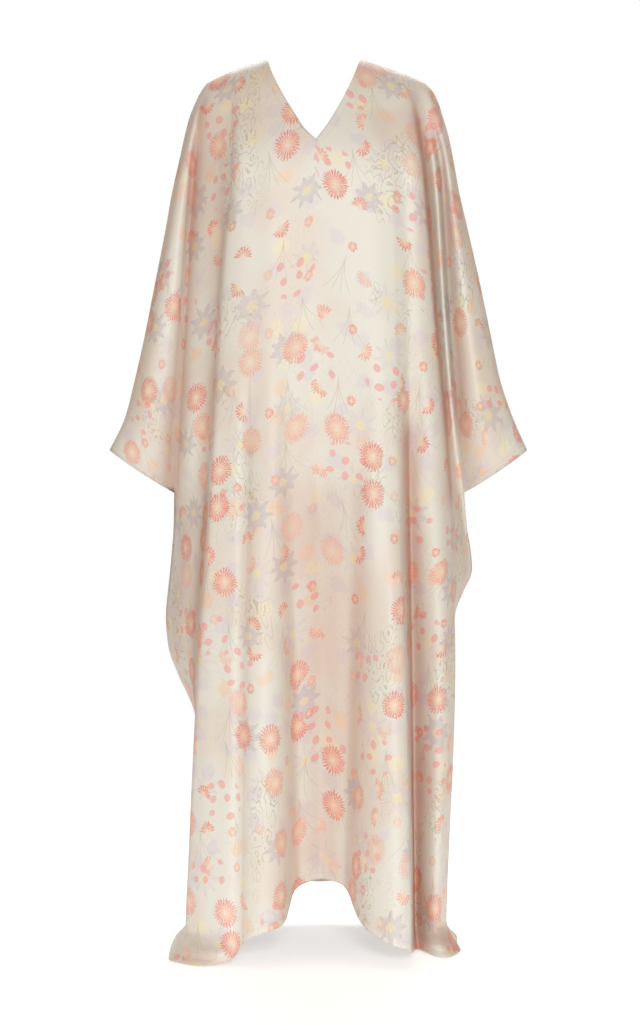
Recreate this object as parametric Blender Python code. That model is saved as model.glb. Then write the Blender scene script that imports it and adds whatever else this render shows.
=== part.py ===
"""A maxi kaftan in its worn form: a front and a back panel with grown-on sleeves.

Each panel is one wall of cloth on a grid. Columns run down from the shoulder seam along the
fold lines, and rows run across from seam to seam. The origin is between the neck points,
x is to the right as seen from the front, the front faces minus y and z is up.
Tables are in millimetres.
"""

import bpy
import numpy as np

MM = 0.001
WALL = 1.8
SEAM_GAP = 0.3
SHARPEST = 0.6
FLOOR = -1510.0
CUFF_TIP = -661.0
CUFF_BOTTOM = -735.0
NECK_DEPTH = -142.0
SHOULDER_ROUND = 165.0
CLOSES_OVER = 110.0

# Shoulder seam from the neck point out: share of its length, left x, right x, height.
SHOULDER = (
    (0.00, -82, 75, -1),
    (0.35, -117, 109, -13),
    (0.67, -150, 146, -25),
    (1.00, -184, 184, -42),
)

# Sleeve top from the shoulder point down to the cuff's tip: height, left x, right x.
SLEEVE_TOP = (
    (-42, -184, 184),
    (-56, -194, 197),
    (-76, -204, 207),
    (-98, -213, 214),
    (-132, -222, 224),
    (-177, -232, 233),
    (-230, -244, 243),
    (-281, -253, 255),
    (-377, -272, 277),
    (-472, -291, 297),
    (-542, -307, 312),
    (-607, -324, 334),
    (CUFF_TIP, -350, 358),
)

# Neckline from the neck point down to the point of the V: height, left x, right x.
NECKLINE = (
    (-1, -82, 75),
    (-27, -74, 66),
    (-61, -58, 51),
    (-100, -35, 30),
    (-128, -16.5, 12),
    (NECK_DEPTH, 0, 0),
)

# Side seams from the cuff's bottom to the floor: height, left x, right x, left y, right y.
SIDE_SEAM = (
    (CUFF_BOTTOM, -242, 253, 20, 20),
    (-791, -244, 258, 40, 35),
    (-850, -249, 267, 52, 45),
    (-870, -251, 268, 54, 48),
    (-905, -255, 254, 58, 52),
    (-950, -259, 238, 60, 56),
    (-1000, -255, 234, 60, 60),
    (-1049, -239, 234, 60, 60),
    (-1090, -220, 234, 60, 60),
    (-1130, -205, 233, 60, 60),
    (-1250, -203, 231, 60, 60),
    (-1440, -211, 219, 62, 60),
    (-1478, -220, 220, 64, 62),
    (FLOOR, -246, 247, 68, 68),
)

HEIGHTS = (-90, -200, -420, -740, -1020, -1440)

# Fold lines of the front, from the left sleeve to the right: name, columns to the next line,
# then x and y at each of HEIGHTS, and how far the cloth swells on the way to the next line.
FRONT_LINES = (
    ("sleeve top left", 5, (0,) * 6, (0, 0, -4, -8, 0, 0), (18, 34, 44, 46, 0, 0)),
    ("groove left", 4, (-194, -209, -222, -242, -255, -211), (-52, -30, -22, -16, 60, 62),
     (0, -20, -26, -30, -30, 10)),
    ("drape edge left", 5, (-139, -142, -157, -176, -197, -218), (-84, -106, -110, -112, -112, -112),
     (3, 5, 6, 8, 12, 22)),
    ("crease left", 4, (-115, -109, -109, -112, -119, -121), (-93, -114, -126, -130, -145, -172),
     (2, 3, 4, 10, 28, 42)),
    ("arch left", 3, (-90, -56, -53, -53, -48, -43), (-100, -119, -128, -130, -118, -124),
     (0, 1, 1, 0, -6, -10)),
    ("middle", 3, (-43, 0, 2, 3, 7, 8), (-103, -116, -124, -120, -94, -86),
     (0, 1, 1, 0, -5, -8)),
    ("arch right", 4, (60, 57, 70, 76, 73, 61), (-99, -118, -128, -130, -122, -128),
     (2, 3, 5, 12, 28, 38)),
    ("overlap right", 2, (96, 128, 133, 138, 147, 156), (-95, -114, -121, -126, -150, -182),
     (0, 0, 0, 0, 2, 3)),
    ("deep groove right", 4, (122, 151, 154, 158, 163, 168), (-88, -107, -104, -70, -36, -30),
     (5, 10, 15, 34, 58, 62)),
    ("drape edge right", 4, (160, 176, 195, 223, 236, 222), (-80, -92, -82, -48, -20, -25),
     (-10, -58, -58, -20, 10, 12)),
    ("groove right", 5, (192, 212, 226, 253, 234, 219), (-52, -34, -30, -18, 60, 60),
     (18, 34, 44, 46, 0, 0)),
    ("sleeve top right", 0, (0,) * 6, (0, 0, -4, -8, 0, 0), (0,) * 6),
)

# Fold lines of the back, with the same columns, so that both panels match at the seams.
BACK_LINES = (
    ("sleeve top left", 5, (0,) * 6, (0, 0, -4, -8, 0, 0), (-18, -36, -48, -50, 0, 0)),
    ("groove left", 4, (-194, -206, -220, -242, -255, -211), (58, 43, 38, 44, 60, 62),
     (-6, -14, -22, -24, -22, -20)),
    ("back edge left", 5, (-150, -158, -166, -188, -196, -186), (88, 94, 86, 82, 120, 168),
     (-5, -12, -16, -22, -24, -26)),
    ("back fold left", 4, (-108, -108, -112, -118, -126, -134), (104, 119, 114, 122, 150, 196),
     (-2, -6, -10, -18, -28, -38)),
    ("back trough left", 3, (-66, -58, -58, -60, -62, -66), (113, 128, 122, 128, 152, 190),
     (-1, -3, -6, -10, -16, -22)),
    ("back middle", 3, (-43, 0, 0, 2, 4, 6), (116, 132, 128, 138, 168, 212),
     (-1, -3, -5, -9, -16, -22)),
    ("back trough right", 4, (50, 56, 60, 64, 70, 76), (113, 128, 122, 126, 150, 192),
     (-2, -6, -9, -17, -28, -36)),
    ("back fold right", 2, (96, 104, 110, 120, 130, 142), (104, 120, 115, 120, 144, 190),
     (-1, -3, -5, -8, -10, -12)),
    ("back dip right", 4, (124, 134, 142, 156, 168, 180), (95, 108, 104, 106, 128, 170),
     (-3, -8, -12, -18, -22, -24)),
    ("back edge right", 4, (160, 172, 184, 204, 208, 204), (84, 85, 74, 70, 100, 136),
     (-5, -10, -16, -20, -18, -16)),
    ("groove right", 5, (192, 210, 224, 253, 234, 219), (58, 43, 38, 44, 60, 60),
     (-18, -36, -48, -50, 0, 0)),
    ("sleeve top right", 0, (0,) * 6, (0, 0, -4, -8, 0, 0), (0,) * 6),
)

# How far the crest between a line and the next leans to the right: 1 is in the middle.
FRONT_LEANS = (1, 3, 1, 1.6, 1, 1, 1.3, 1, 1.6, 1.2, 1)
BACK_LEANS = (1,) * 11

# Where each line leaves the shoulder seam, as a share from the neck point out.
LEAVES_SHOULDER = (1.0, 0.86, 0.58, 0.4, 0.2, 0.0, 0.2, 0.4, 0.52, 0.7, 0.86, 1.0)

# The hem along the front and the back: place in fold lines, height.
FRONT_HEM = (
    (1.0, -1507),
    (2.5, -1507),
    (2.85, -1500),
    (3.0, -1476),
    (3.1, -1466),
    (3.5, -1453),
    (3.85, -1444),
    (3.95, -1432),
    (4.03, -1410),
    (4.15, -1396),
    (4.5, -1386),
    (5.0, -1381),
    (5.6, -1386),
    (5.85, -1398),
    (6.0, -1418),
    (6.12, -1440),
    (6.35, -1458),
    (6.85, -1477),
    (7.0, -1482),
    (7.3, -1496),
    (8.0, -1505),
    (8.4, -1507),
    (10.0, -1507),
)
BACK_HEM = (
    (1.0, -1507),
    (2.0, -1503),
    (3.0, -1470),
    (4.5, -1440),
    (6.0, -1440),
    (8.0, -1478),
    (9.0, -1503),
    (10.0, -1507),
)

# How the hem's corners spread on the floor: place in fold lines, outward x, forward y.
FRONT_SPREAD = (
    (1.0, 0, 0),
    (1.5, -18, 16),
    (2.0, -28, 38),
    (2.5, -22, 32),
    (3.0, -4, 10),
    (3.5, 0, 0),
    (7.4, 0, 0),
    (8.0, 4, 30),
    (8.6, 14, 46),
    (9.0, 24, 40),
    (9.5, 10, 14),
    (10.0, 0, 0),
)
BACK_SPREAD = (
    (1.0, 0, 0),
    (1.6, -10, -14),
    (2.4, -6, -34),
    (3.4, 0, -8),
    (4.0, 0, 0),
    (7.2, 0, 0),
    (8.2, 6, -30),
    (9.3, 10, -14),
    (10.0, 0, 0),
)
SPREAD_FROM = -1464.0
BUCKLE_HEIGHT = -1488.0
BUCKLE_DEPTH = 10.0

# Shares of the way from the shoulder to the cuff, then from the cuff to the hem, of each row.
NECK_SHARE = NECK_DEPTH / CUFF_BOTTOM
UPPER_ROWS = (0.0, 0.009, 0.024, 0.046, 0.074, 0.108, 0.148, NECK_SHARE,
              0.24, 0.29, 0.345, 0.4, 0.46, 0.52, 0.58, 0.64, 0.7, 0.76, 0.82, 0.88, 0.94, 1.0)
LOWER_ROWS = (0.07, 0.14, 0.21, 0.28, 0.35, 0.42, 0.49, 0.56, 0.63, 0.7, 0.77, 0.83, 0.88,
              0.92, 0.945, 0.965, 0.98, 1.0)
NECK_ROW = UPPER_ROWS.index(NECK_SHARE)
CUFF_ROW = len(UPPER_ROWS) - 1
LAST_LINE = len(FRONT_LINES) - 1
MIDDLE_LINE = 5


def smooth(at, table, column):
    """A table's column at any place: a cubic through its rows that never overshoots them."""
    rows = np.array(table, float)
    x, y = rows[:, 0], rows[:, column]
    if x[0] > x[-1]:
        x, y = x[::-1], y[::-1]
    step = np.diff(x)
    rise = np.diff(y) / step
    same = rise[1:] * rise[:-1] > 0
    both = np.where(same, rise[1:] + rise[:-1], 1.0)
    inner = np.where(same, 2 * rise[1:] * rise[:-1] / both, 0)
    slope = np.concatenate(([rise[0]], inner, [rise[-1]]))
    at = np.clip(at, x[0], x[-1])
    k = np.clip(np.searchsorted(x, at) - 1, 0, len(step) - 1)
    t = (at - x[k]) / step[k]
    start = y[k] * (1 + 2 * t) * (1 - t) ** 2 + slope[k] * step[k] * t * (1 - t) ** 2
    end = y[k + 1] * t * t * (3 - 2 * t) - slope[k + 1] * step[k] * t * t * (1 - t)
    return start + end


def line_places(lines):
    """For each column of the grid, its place counted in fold lines, with the middle twice."""
    places = []
    for number, (name, columns, *_) in enumerate(lines[:-1]):
        share = np.arange(columns) / columns
        if number == 0:
            share = 1 - np.cos(share * np.pi / 2)
        if number == LAST_LINE - 1:
            share = np.sin(share * np.pi / 2)
        places.extend(number + share)
    places.append(float(LAST_LINE))
    left = [p for p in places if p <= MIDDLE_LINE]
    right = [p for p in places if p >= MIDDLE_LINE]
    return np.array(left), np.array(right)


def line_points(lines, number, rows, side, hem_height):
    """The fold line's points at each row: x, y and z. Upper rows fall to the cuff's height."""
    upper = np.minimum(rows, 1.0)
    lower = np.maximum(rows - 1.0, 0.0)
    leave = LEAVES_SHOULDER[number]
    top_x = smooth(leave, SHOULDER, 1 if side < 0 else 2)
    top_z = smooth(leave, SHOULDER, 3)
    bottom = CUFF_TIP if number in (0, LAST_LINE) else CUFF_BOTTOM
    z = top_z + (bottom - top_z) * upper + (hem_height - CUFF_BOTTOM) * lower
    name, _, xs, ys, swells = lines[number]
    down = np.array((HEIGHTS, xs, ys, swells)).T
    y = smooth(z, down, 2)
    swell = smooth(z, down, 3)
    if number in (0, LAST_LINE):
        x = smooth(z, SLEEVE_TOP, 1 if side < 0 else 2)
    elif number in (1, LAST_LINE - 1):
        start = np.array(((top_z, top_x), (HEIGHTS[0], xs[0]), (HEIGHTS[1], xs[1]),
                          (HEIGHTS[2], xs[2]), (CUFF_BOTTOM, xs[3])))
        seam_x = smooth(z, SIDE_SEAM, 1 if side < 0 else 2)
        x = np.where(rows <= 1, smooth(z, start, 1), seam_x)
        close = np.clip((z - CUFF_BOTTOM) / CLOSES_OVER, 0, 1)
        y += (smooth(z, SIDE_SEAM, 3 if side < 0 else 4) - y) * (1 - close) ** 1.5
    elif number == MIDDLE_LINE:
        neck = smooth(z, NECKLINE, 1 if side < 0 else 2)
        below = np.array([(NECK_DEPTH, 0.0)] + list(zip(HEIGHTS[1:], xs[1:])))
        x = np.where(z >= NECK_DEPTH, neck, smooth(z, below, 1))
    else:
        start = np.array([(top_z, top_x)] + list(zip(HEIGHTS, xs)))
        x = smooth(z, start, 1)
    fall = np.clip((top_z - z) / SHOULDER_ROUND, 0, 1)
    shoulder = np.sqrt(1 - (1 - fall) ** 2)
    if number not in (0, LAST_LINE):
        y = y * shoulder
    return x, y, z, swell * shoulder


def half_panel(lines, leans, places, rows, side, hem, spread, front):
    """Points of the panel's left or right half, rows by columns: along each row, a straight
    line between two fold lines, swollen forward or back by the table's amount."""
    grid = np.zeros((len(rows), len(places), 3))
    forward = -1 if front else 1
    for column, place in enumerate(places):
        number = min(int(place), LAST_LINE - 1)
        share = place - number
        hem_height = smooth(place, hem, 1)
        ax, ay, az, swell = line_points(lines, number, rows, side, hem_height)
        bx, by, bz, _ = line_points(lines, number + 1, rows, side, hem_height)
        leant = share ** leans[number]
        arc = 4 * leant * (1 - leant)
        round_out = np.full(len(rows), 0.85)
        if number in (0, LAST_LINE - 1):
            outer = share if number == 0 else 1 - share
            round_out[:] = 0.5 + 0.5 * outer
        if number in (1, LAST_LINE - 2):
            outer = share if number == 1 else 1 - share
            valley = 1.3 if number == LAST_LINE - 2 and front else 0.85
            turn = np.clip((rows - 0.8) / 0.2, 0, 1)
            round_out = valley + (0.5 + 0.4 * outer - valley) * turn
        if number == LAST_LINE - 3 and front:
            round_out[:] = 1.15
        x = ax + (bx - ax) * share
        y = ay + (by - ay) * share - swell * arc ** round_out
        z = az + (bz - az) * share
        grid[:, column] = np.stack((x, y, z), 1)
        ease = np.clip((SPREAD_FROM - z) / (SPREAD_FROM - FLOOR), 0, 1) ** 1.3
        out = smooth(place, spread, 1)
        ahead = smooth(place, spread, 2)
        crease = np.exp(-((z - BUCKLE_HEIGHT) / 9.0) ** 2) * BUCKLE_DEPTH * ahead / 46
        grid[:, column, 0] += out * ease
        grid[:, column, 1] -= ahead * ease - crease * -forward
    return grid


def seam_ends(points, direction):
    """Along a seam: its outward and its backward direction at each point."""
    along = np.gradient(points, axis=0)
    along /= np.linalg.norm(along, axis=1)[:, None]
    outward = direction - (along @ direction)[:, None] * along
    outward /= np.linalg.norm(outward, axis=1)[:, None]
    across = np.cross(along, outward)
    across *= np.sign(across[:, 1])[:, None]
    return outward, across


def panel_wall(name, lines, leans, hem, spread, front):
    """One closed wall: the middle surface moved out and in by half the cloth's thickness."""
    rows = np.array(UPPER_ROWS + tuple(1 + share for share in LOWER_ROWS))
    left_places, right_places = line_places(lines)
    left = half_panel(lines, leans, left_places, rows, -1, hem, spread, front)
    right = half_panel(lines, leans, right_places, rows, 1, hem, spread, front)
    left[NECK_ROW:, -1] = right[NECK_ROW:, 0]
    width = len(left_places) + len(right_places)
    grid = np.concatenate((left, right), 1)
    number = np.arange(len(rows) * width).reshape(len(rows), width)
    number[NECK_ROW:, len(left_places)] = number[NECK_ROW:, len(left_places) - 1]
    places = np.concatenate((left_places, right_places))
    faces = []
    for r in range(len(rows) - 1):
        for c in range(width - 1):
            sleeve = places[c] < 1 or places[c + 1] > LAST_LINE - 1
            if c == len(left_places) - 1 or (sleeve and r >= CUFF_ROW):
                continue
            faces.append((number[r, c], number[r + 1, c], number[r + 1, c + 1], number[r, c + 1]))
    faces = np.array(faces)
    if not front:
        faces = faces[:, ::-1]
    points = grid.reshape(-1, 3)
    one_way = points[faces[:, 2]] - points[faces[:, 0]]
    other = points[faces[:, 3]] - points[faces[:, 1]]
    diagonal = np.cross(one_way, other)
    flat = diagonal / np.linalg.norm(diagonal, axis=1)[:, None]
    normals = np.zeros_like(points)
    for corner in range(4):
        np.add.at(normals, faces[:, corner], flat)
    normals /= np.maximum(np.linalg.norm(normals, axis=1), 1e-12)[:, None]
    lean = np.ones(len(points))
    for corner in range(4):
        np.minimum.at(lean, faces[:, corner], (normals[faces[:, corner]] * flat).sum(1))
    thickness = WALL / np.maximum(lean, SHARPEST)
    seams = []
    cuff_bottoms = []
    for side in (-1, 1):
        half = np.arange(len(left_places))
        if side > 0:
            half = np.arange(width - 1, len(left_places) - 1, -1)
        top = [number[0, c] for c in half[::-1]]
        top += [number[r, half[0]] for r in range(1, CUFF_ROW + 1)]
        first = int(np.argmin(abs(places - (1 if side < 0 else LAST_LINE - 1))))
        seams.append((top, np.array((side * 0.8, 0, 0.6))))
        cuff_bottoms.append(number[CUFF_ROW, first])
        side_seam = [number[r, first] for r in range(CUFF_ROW, len(rows))]
        seams.append((side_seam, np.array((side, 0, 0))))
    for chain, direction in seams:
        outward, across = seam_ends(points[chain], direction)
        away = across * (-1 if front else 1)
        if chain[0] in cuff_bottoms:
            points[chain[0]] += away[0] * (thickness[chain[0]] + SEAM_GAP) / 2
            chain, outward, away = chain[1:], outward[1:], away[1:]
        normals[chain] = outward
        thickness[chain] = WALL
        points[chain] += away * SEAM_GAP / 2
    first_way = np.linalg.norm(points[faces[:, 2]] - points[faces[:, 0]], axis=1)
    other_way = np.linalg.norm(points[faces[:, 3]] - points[faces[:, 1]], axis=1)
    turned = np.where((first_way <= other_way)[:, None], faces, np.roll(faces, -1, axis=1))
    faces = np.concatenate((turned[:, [0, 1, 2]], turned[:, [0, 2, 3]]))
    used = np.unique(faces)
    renumber = np.full(len(points), -1)
    renumber[used] = np.arange(len(used))
    faces = renumber[faces]
    half_wall = (normals * thickness[:, None] / 2)[used]
    outer = points[used] + half_wall
    inner = points[used] - half_wall
    count = len(used)
    edges = {}
    for face in faces:
        for a, b in zip(face, np.roll(face, -1)):
            edges[(a, b)] = True
    rim = [(b, a, a + count, b + count) for a, b in edges if (b, a) not in edges]
    solid = [tuple(map(int, f)) for f in faces]
    solid += [tuple(int(v) + count for v in f[::-1]) for f in faces]
    solid += [tuple(map(int, f)) for f in rim]
    mesh = bpy.data.meshes.new(name)
    mesh.from_pydata((np.concatenate((outer, inner)) * MM).tolist(), [], solid)
    mesh.update()
    mesh.polygons.foreach_set("use_smooth", [True] * len(mesh.polygons))
    return mesh


def satin(name, colour):
    """Soft printed satin."""
    material = bpy.data.materials.new(name)
    material.use_nodes = True
    shader = material.node_tree.nodes["Principled BSDF"]
    shader.inputs["Base Color"].default_value = (*colour, 1)
    shader.inputs["Roughness"].default_value = 0.55
    return material


def build():
    """Clear the scene and make both panels."""
    for other in list(bpy.data.objects):
        bpy.data.objects.remove(other)
    panels = (
        ("front_panel", FRONT_LINES, FRONT_LEANS, FRONT_HEM, FRONT_SPREAD, True),
        ("back_panel", BACK_LINES, BACK_LEANS, BACK_HEM, BACK_SPREAD, False),
    )
    for name, lines, leans, hem, spread, front in panels:
        mesh = panel_wall(name, lines, leans, hem, spread, front)
        colour = (0.80, 0.75, 0.69) if front else (0.76, 0.70, 0.64)
        mesh.materials.append(satin(name + "_satin", colour))
        panel = bpy.data.objects.new(name, mesh)
        bpy.context.scene.collection.objects.link(panel)


build()
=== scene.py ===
"""A maxi kaftan in its worn form: satin jacquard front and back panels with grown-on sleeves.

Each panel is one thin shell on a grid of two parameters. Columns are places counted in fold
lines across the cloth, and rows fall from the shoulder seam to the hem. Tables are in
millimetres; the cloth's own flat place, in metres, is its UV map.
"""

import bpy
import numpy as np
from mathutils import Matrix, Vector


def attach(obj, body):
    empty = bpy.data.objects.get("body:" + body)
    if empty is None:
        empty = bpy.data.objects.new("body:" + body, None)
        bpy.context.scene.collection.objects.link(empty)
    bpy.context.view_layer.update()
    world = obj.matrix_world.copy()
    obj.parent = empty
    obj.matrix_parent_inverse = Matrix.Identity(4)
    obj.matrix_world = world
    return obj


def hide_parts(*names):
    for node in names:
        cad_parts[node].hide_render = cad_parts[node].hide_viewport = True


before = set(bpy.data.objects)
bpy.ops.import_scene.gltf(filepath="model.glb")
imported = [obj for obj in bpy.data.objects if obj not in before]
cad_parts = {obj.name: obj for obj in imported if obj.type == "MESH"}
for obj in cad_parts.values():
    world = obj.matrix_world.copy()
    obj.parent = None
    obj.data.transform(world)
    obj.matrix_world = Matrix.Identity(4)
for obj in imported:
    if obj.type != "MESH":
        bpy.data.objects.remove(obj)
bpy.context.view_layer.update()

MM = 0.001
CLOTH = 0.9
SEAM_CLEAR = 0.3
FLOOR = -1510.0
CUFF_TIP = -661.0
CUFF_BOTTOM = -735.0
SIDE_CLOSES_OVER = 110.0
NECK_DEPTH = -142.0
SHOULDER_ROUND = 165.0
COLUMNS_PER_GAP = 13
ROW_STEPS = 4

# How round the cloth bows between fold lines: less than 1 is full, more is pinched.
BOW = 0.85
BOW_ON_SLEEVE = 0.5
BOW_IN_RIGHT_VALLEY = 1.3
BOW_BESIDE_VALLEY = 1.15

# Shoulder seam from the neck point out: share of its length, left x, right x, height.
SHOULDER = (
    (0.00, -82, 75, -1),
    (0.35, -117, 109, -13),
    (0.67, -150, 146, -25),
    (1.00, -184, 184, -42),
)

# Sleeve top from the shoulder point down to the cuff's tip: height, left x, right x.
SLEEVE_TOP = (
    (-42, -184, 184),
    (-56, -194, 197),
    (-76, -204, 207),
    (-98, -213, 214),
    (-132, -222, 224),
    (-177, -232, 233),
    (-230, -244, 243),
    (-281, -253, 255),
    (-377, -272, 277),
    (-472, -291, 297),
    (-542, -307, 312),
    (-607, -324, 334),
    (CUFF_TIP, -350, 358),
)

# Neckline from the neck point down to the point of the V: height, left x, right x.
NECKLINE = (
    (-1, -82, 75),
    (-27, -74, 66),
    (-61, -58, 51),
    (-100, -35, 30),
    (-128, -16.5, 12),
    (NECK_DEPTH, 0, 0),
)

# Side seams from the cuff's bottom to the floor: height, left x, right x, left y, right y.
SIDE_SEAM = (
    (CUFF_BOTTOM, -242, 253, 20, 20),
    (-791, -244, 258, 40, 35),
    (-850, -249, 267, 52, 45),
    (-870, -251, 268, 54, 48),
    (-905, -255, 254, 58, 52),
    (-950, -259, 238, 60, 56),
    (-1000, -255, 234, 60, 60),
    (-1049, -239, 234, 60, 60),
    (-1090, -220, 234, 60, 60),
    (-1130, -205, 233, 60, 60),
    (-1250, -203, 231, 60, 60),
    (-1440, -211, 219, 62, 60),
    (-1478, -220, 220, 64, 62),
    (FLOOR, -246, 247, 68, 68),
)

HEIGHTS = (-90, -200, -420, -740, -1020, -1440)

# Fold lines of the front, from the left sleeve to the right: name, x and y at each of
# HEIGHTS, and how far the cloth swells on the way to the next line.
FRONT_LINES = (
    ("sleeve top left", (0,) * 6, (0, 0, -4, -8, 0, 0), (18, 34, 44, 46, 0, 0)),
    ("groove left", (-194, -209, -222, -242, -255, -211), (-52, -30, -22, -16, 60, 62),
     (0, -20, -26, -30, -30, 10)),
    ("drape edge left", (-139, -142, -157, -176, -197, -218), (-84, -106, -110, -112, -112, -112),
     (3, 5, 6, 8, 12, 22)),
    ("crease left", (-115, -109, -109, -112, -119, -121), (-93, -114, -126, -130, -145, -172),
     (2, 3, 4, 10, 28, 42)),
    ("arch left", (-90, -56, -53, -53, -48, -43), (-100, -119, -128, -130, -118, -124),
     (0, 1, 1, 0, -6, -10)),
    ("middle", (-43, 0, 2, 3, 7, 8), (-103, -116, -124, -120, -94, -86),
     (0, 1, 1, 0, -5, -8)),
    ("arch right", (60, 57, 70, 76, 73, 61), (-99, -118, -128, -130, -122, -128),
     (2, 3, 5, 12, 28, 38)),
    ("overlap right", (96, 128, 133, 138, 147, 156), (-95, -114, -121, -126, -150, -182),
     (0, 0, 0, 0, 2, 3)),
    ("deep groove right", (122, 151, 154, 158, 163, 168), (-88, -107, -104, -70, -36, -30),
     (5, 10, 15, 34, 58, 62)),
    ("drape edge right", (160, 176, 195, 223, 236, 222), (-80, -92, -82, -48, -20, -25),
     (-10, -58, -58, -20, 10, 12)),
    ("groove right", (192, 212, 226, 253, 234, 219), (-52, -34, -30, -18, 60, 60),
     (18, 34, 44, 46, 0, 0)),
    ("sleeve top right", (0,) * 6, (0, 0, -4, -8, 0, 0), (0,) * 6),
)

# Fold lines of the back, counted the same way.
BACK_LINES = (
    ("sleeve top left", (0,) * 6, (0, 0, -4, -8, 0, 0), (-18, -36, -48, -50, 0, 0)),
    ("groove left", (-194, -206, -220, -242, -255, -211), (58, 43, 38, 44, 60, 62),
     (-6, -14, -22, -24, -22, -20)),
    ("back edge left", (-150, -158, -166, -188, -196, -186), (88, 94, 86, 82, 120, 168),
     (-5, -12, -16, -22, -24, -26)),
    ("back fold left", (-108, -108, -112, -118, -126, -134), (104, 119, 114, 122, 150, 196),
     (-2, -6, -10, -18, -28, -38)),
    ("back trough left", (-66, -58, -58, -60, -62, -66), (113, 128, 122, 128, 152, 190),
     (-1, -3, -6, -10, -16, -22)),
    ("back middle", (-43, 0, 0, 2, 4, 6), (116, 132, 128, 138, 168, 212),
     (-1, -3, -5, -9, -16, -22)),
    ("back trough right", (50, 56, 60, 64, 70, 76), (113, 128, 122, 126, 150, 192),
     (-2, -6, -9, -17, -28, -36)),
    ("back fold right", (96, 104, 110, 120, 130, 142), (104, 120, 115, 120, 144, 190),
     (-1, -3, -5, -8, -10, -12)),
    ("back dip right", (124, 134, 142, 156, 168, 180), (95, 108, 104, 106, 128, 170),
     (-3, -8, -12, -18, -22, -24)),
    ("back edge right", (160, 172, 184, 204, 208, 204), (84, 85, 74, 70, 100, 136),
     (-5, -10, -16, -20, -18, -16)),
    ("groove right", (192, 210, 224, 253, 234, 219), (58, 43, 38, 44, 60, 60),
     (-18, -36, -48, -50, 0, 0)),
    ("sleeve top right", (0,) * 6, (0, 0, -4, -8, 0, 0), (0,) * 6),
)

# How far the crest between a line and the next leans to the right: 1 is in the middle.
FRONT_LEANS = (1, 3, 1, 1.6, 1, 1, 1.3, 1, 1.6, 1.2, 1)
BACK_LEANS = (1,) * 11

# Where each line leaves the shoulder seam, as a share from the neck point out.
LEAVES_SHOULDER = (1.0, 0.86, 0.58, 0.4, 0.2, 0.0, 0.2, 0.4, 0.52, 0.7, 0.86, 1.0)

# The hem along the front and the back: place in fold lines, height.
FRONT_HEM = (
    (1.0, -1507),
    (2.5, -1507),
    (2.85, -1500),
    (3.0, -1476),
    (3.1, -1466),
    (3.5, -1453),
    (3.85, -1444),
    (3.95, -1432),
    (4.03, -1410),
    (4.15, -1396),
    (4.5, -1386),
    (5.0, -1381),
    (5.6, -1386),
    (5.85, -1398),
    (6.0, -1418),
    (6.12, -1440),
    (6.35, -1458),
    (6.85, -1477),
    (7.0, -1482),
    (7.3, -1496),
    (8.0, -1505),
    (8.4, -1507),
    (10.0, -1507),
)
BACK_HEM = (
    (1.0, -1507),
    (2.0, -1503),
    (3.0, -1470),
    (4.5, -1440),
    (6.0, -1440),
    (8.0, -1478),
    (9.0, -1503),
    (10.0, -1507),
)

# How the hem's corners spread on the floor: place in fold lines, outward x, forward y.
FRONT_SPREAD = (
    (1.0, 0, 0),
    (1.5, -18, 16),
    (2.0, -28, 38),
    (2.5, -22, 32),
    (3.0, -4, 10),
    (3.5, 0, 0),
    (7.4, 0, 0),
    (8.0, 4, 30),
    (8.6, 14, 46),
    (9.0, 24, 40),
    (9.5, 10, 14),
    (10.0, 0, 0),
)
BACK_SPREAD = (
    (1.0, 0, 0),
    (1.6, -10, -14),
    (2.4, -6, -34),
    (3.4, 0, -8),
    (4.0, 0, 0),
    (7.2, 0, 0),
    (8.2, 6, -30),
    (9.3, 10, -14),
    (10.0, 0, 0),
)

# The corners spread below SPREAD_FROM, and the cloth buckles forward once above the floor,
# most where it spreads most.
SPREAD_FROM = -1464.0
BUCKLE_HEIGHT = -1488.0
BUCKLE_HALF_HEIGHT = 9.0
BUCKLE_DEPTH = 10.0
LARGEST_SPREAD = 46

# Shares of the way from the shoulder to the cuff, then from the cuff to the hem, of the rows
# that the panels' solids have; the shell has ROW_STEPS rows for each of them.
NECK_SHARE = NECK_DEPTH / CUFF_BOTTOM
UPPER_ROWS = (0.0, 0.009, 0.024, 0.046, 0.074, 0.108, 0.148, NECK_SHARE,
              0.24, 0.29, 0.345, 0.4, 0.46, 0.52, 0.58, 0.64, 0.7, 0.76, 0.82, 0.88, 0.94, 1.0)
LOWER_ROWS = (0.07, 0.14, 0.21, 0.28, 0.35, 0.42, 0.49, 0.56, 0.63, 0.7, 0.77, 0.83, 0.88,
              0.92, 0.945, 0.965, 0.98, 1.0)
LAST_LINE = len(FRONT_LINES) - 1
MIDDLE_LINE = 5

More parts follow.
